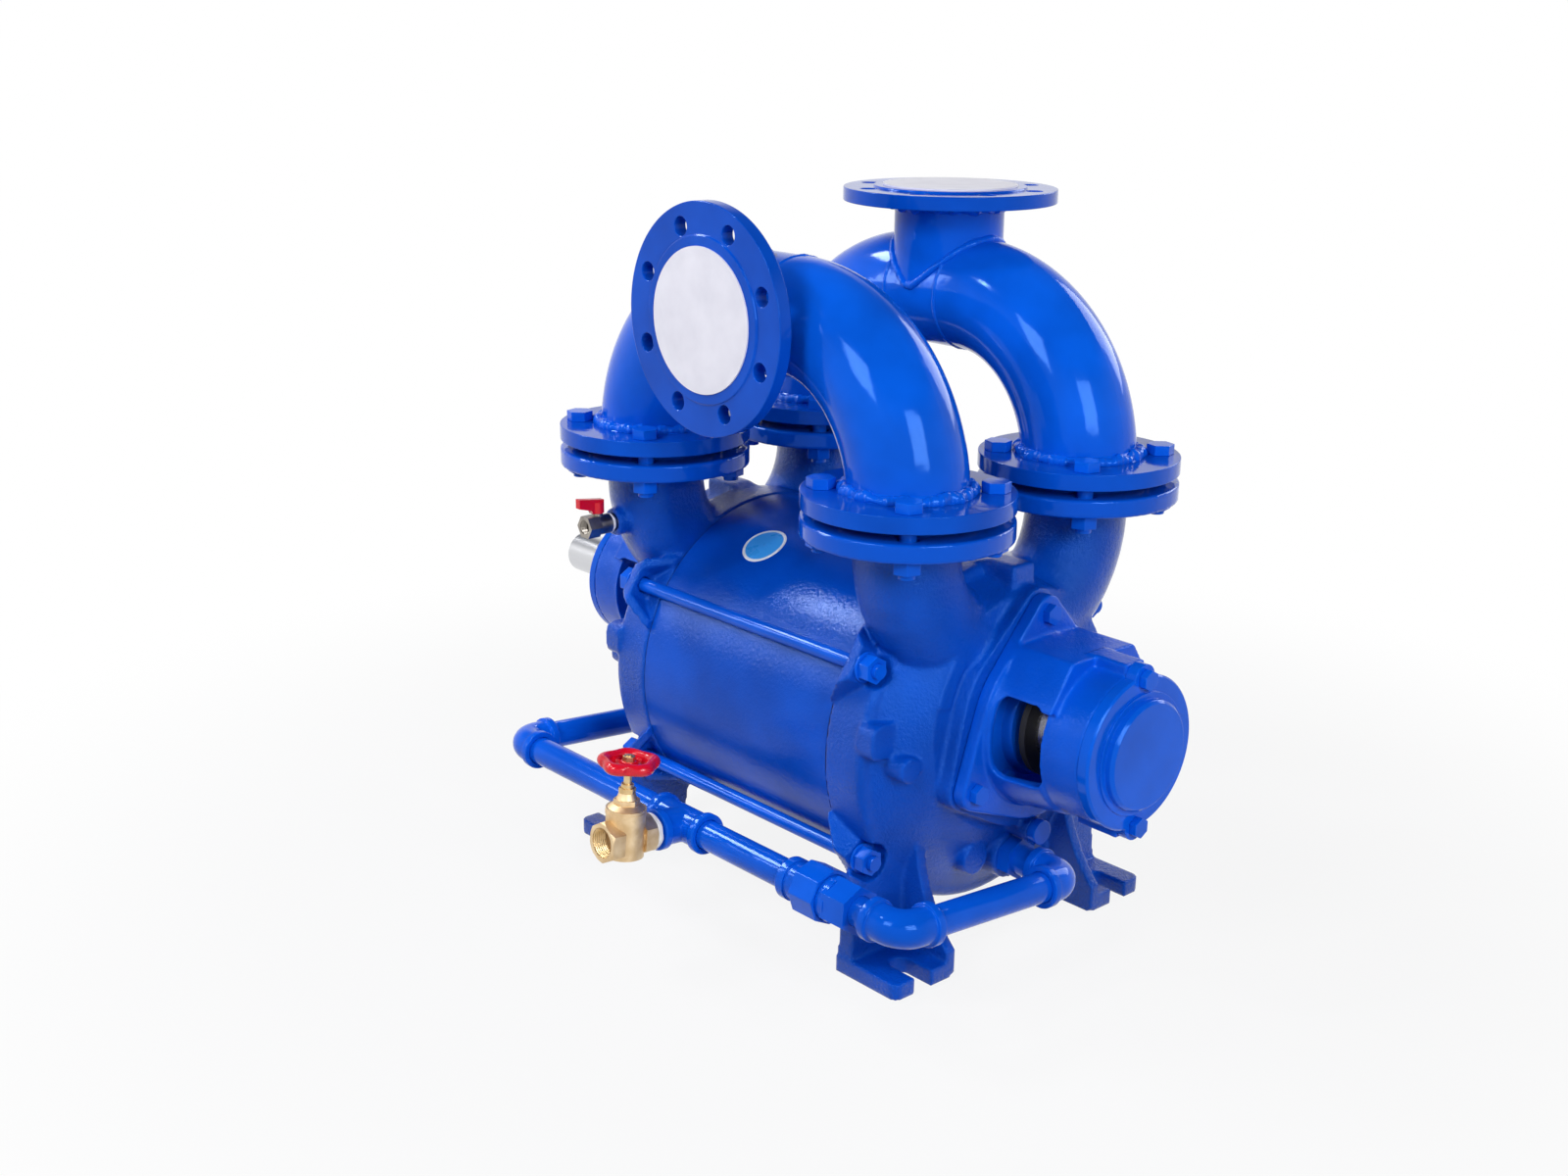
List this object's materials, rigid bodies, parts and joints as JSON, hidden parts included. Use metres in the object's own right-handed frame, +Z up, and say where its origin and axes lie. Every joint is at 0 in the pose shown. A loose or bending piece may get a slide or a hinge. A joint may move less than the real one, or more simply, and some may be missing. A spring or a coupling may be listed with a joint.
{
  "type": "liquid ring vacuum pump",
  "caption": "Liquid ring vacuum pump with a round casing held by tie rods, arched suction and discharge manifolds, a drive shaft end and a seal water line with a gate valve.",
  "frame": {"origin": "on the floor plane under the middle of the casing, below the shaft", "axes": "+X along the shaft towards the free end, +Y towards the discharge manifold, +Z up"},
  "size_m": [0.881, 0.5607, 0.7254],
  "materials": {
    "blue_paint": "gloss enamel",
    "cast_blue_paint": "gloss enamel on rough cast iron",
    "steel": "machined",
    "stainless": "ground",
    "bronze": "cast and machined",
    "brass": "sand cast",
    "red_paint": "gloss enamel",
    "white_plastic": "smooth",
    "white_ceramic": "lapped",
    "rubber": "matt",
    "gasket": "matt",
    "nickel": "nickel plated"
  },
  "bodies": {
    "pump": {"casing": "blue_paint", "casing_gaskets": "gasket", "end_cover_drive": "cast_blue_paint", "end_cover_free": "cast_blue_paint", "port_plate_drive": "bronze", "port_plate_free": "bronze", "tie_rods": "blue_paint", "tie_rod_washers": "blue_paint", "tie_rod_nuts": "blue_paint", "bearing_bracket_drive": "cast_blue_paint", "bearing_bracket_free": "cast_blue_paint", "bracket_bolts": "blue_paint", "bearing_cover_drive": "blue_paint", "bearing_cover_free": "blue_paint", "bearing_cover_bolts": "blue_paint", "bearing_outer_rings": "steel", "bearing_lip_seals": "rubber", "seal_cover_drive": "blue_paint", "seal_cover_free": "blue_paint", "seal_cover_bolts": "blue_paint", "seal_seats": "white_ceramic", "cover_plugs": "blue_paint", "suction_manifold": "blue_paint", "suction_port_flanges": "blue_paint", "suction_flange": "blue_paint", "suction_transit_cover": "white_plastic", "discharge_manifold": "blue_paint", "discharge_port_flanges": "blue_paint", "discharge_flange": "blue_paint", "discharge_transit_cover": "white_plastic", "port_gaskets": "gasket", "port_bolts": "blue_paint", "port_nuts": "blue_paint", "water_pipes": "blue_paint", "water_elbows": "blue_paint", "water_tee": "blue_paint", "union_tail": "blue_paint", "union_nut": "blue_paint", "union_body": "blue_paint", "valve_nipple": "blue_paint", "gate_valve_body": "brass", "gate_valve_bonnet": "brass", "gate_valve_gland_nut": "brass", "ball_valve_body": "nickel"},
    "rotor": {"shaft": "steel", "impeller": "bronze", "impeller_key": "steel", "shaft_sleeves": "stainless", "seal_heads": "rubber", "bearing_inner_rings": "steel", "bearing_lock_nut": "steel", "water_slingers": "rubber"},
    "ball_cages": {"bearing_balls": "steel", "bearing_cages": "brass"},
    "wheel": {"handwheel": "red_paint", "gate_valve_stem": "brass", "handwheel_nut": "brass"},
    "wedge": {"gate_valve_wedge": "brass"},
    "lever": {"ball_valve_lever": "red_paint", "ball_valve_ball": "nickel"}
  },
  "joints": [
    {"name": "rotor_spin", "type": "hinge", "parent": "pump", "child": "rotor", "pos_m": [0, 0, 0.244], "axis": [1, 0, 0], "continuous": true},
    {"name": "bearing_cage_spin", "type": "hinge", "parent": "pump", "child": "ball_cages", "pos_m": [0, 0, 0.244], "axis": [1, 0, 0], "continuous": true},
    {"name": "handwheel_turn", "type": "hinge", "parent": "pump", "child": "wheel", "pos_m": [-0.01, -0.30094, 0.11327], "axis": [0, 0.0837, 0.9965], "range_deg": [0, 1800]},
    {"name": "wedge_lift", "type": "slide", "parent": "pump", "child": "wedge", "axis": [0, 0.0837, 0.9965], "range_m": [0, 0.018]},
    {"name": "ball_valve_turn", "type": "hinge", "parent": "pump", "child": "lever", "pos_m": [-0.188, -0.197, 0.376], "axis": [0, 0, 1], "range_deg": [0, 90]}
  ],
  "couplings": [
    {"joint": "bearing_cage_spin", "follows": "rotor_spin", "ratio": 0.38125},
    {"joint": "wedge_lift", "follows": "handwheel_turn", "m_per_rad": 0.00057296}
  ]
}
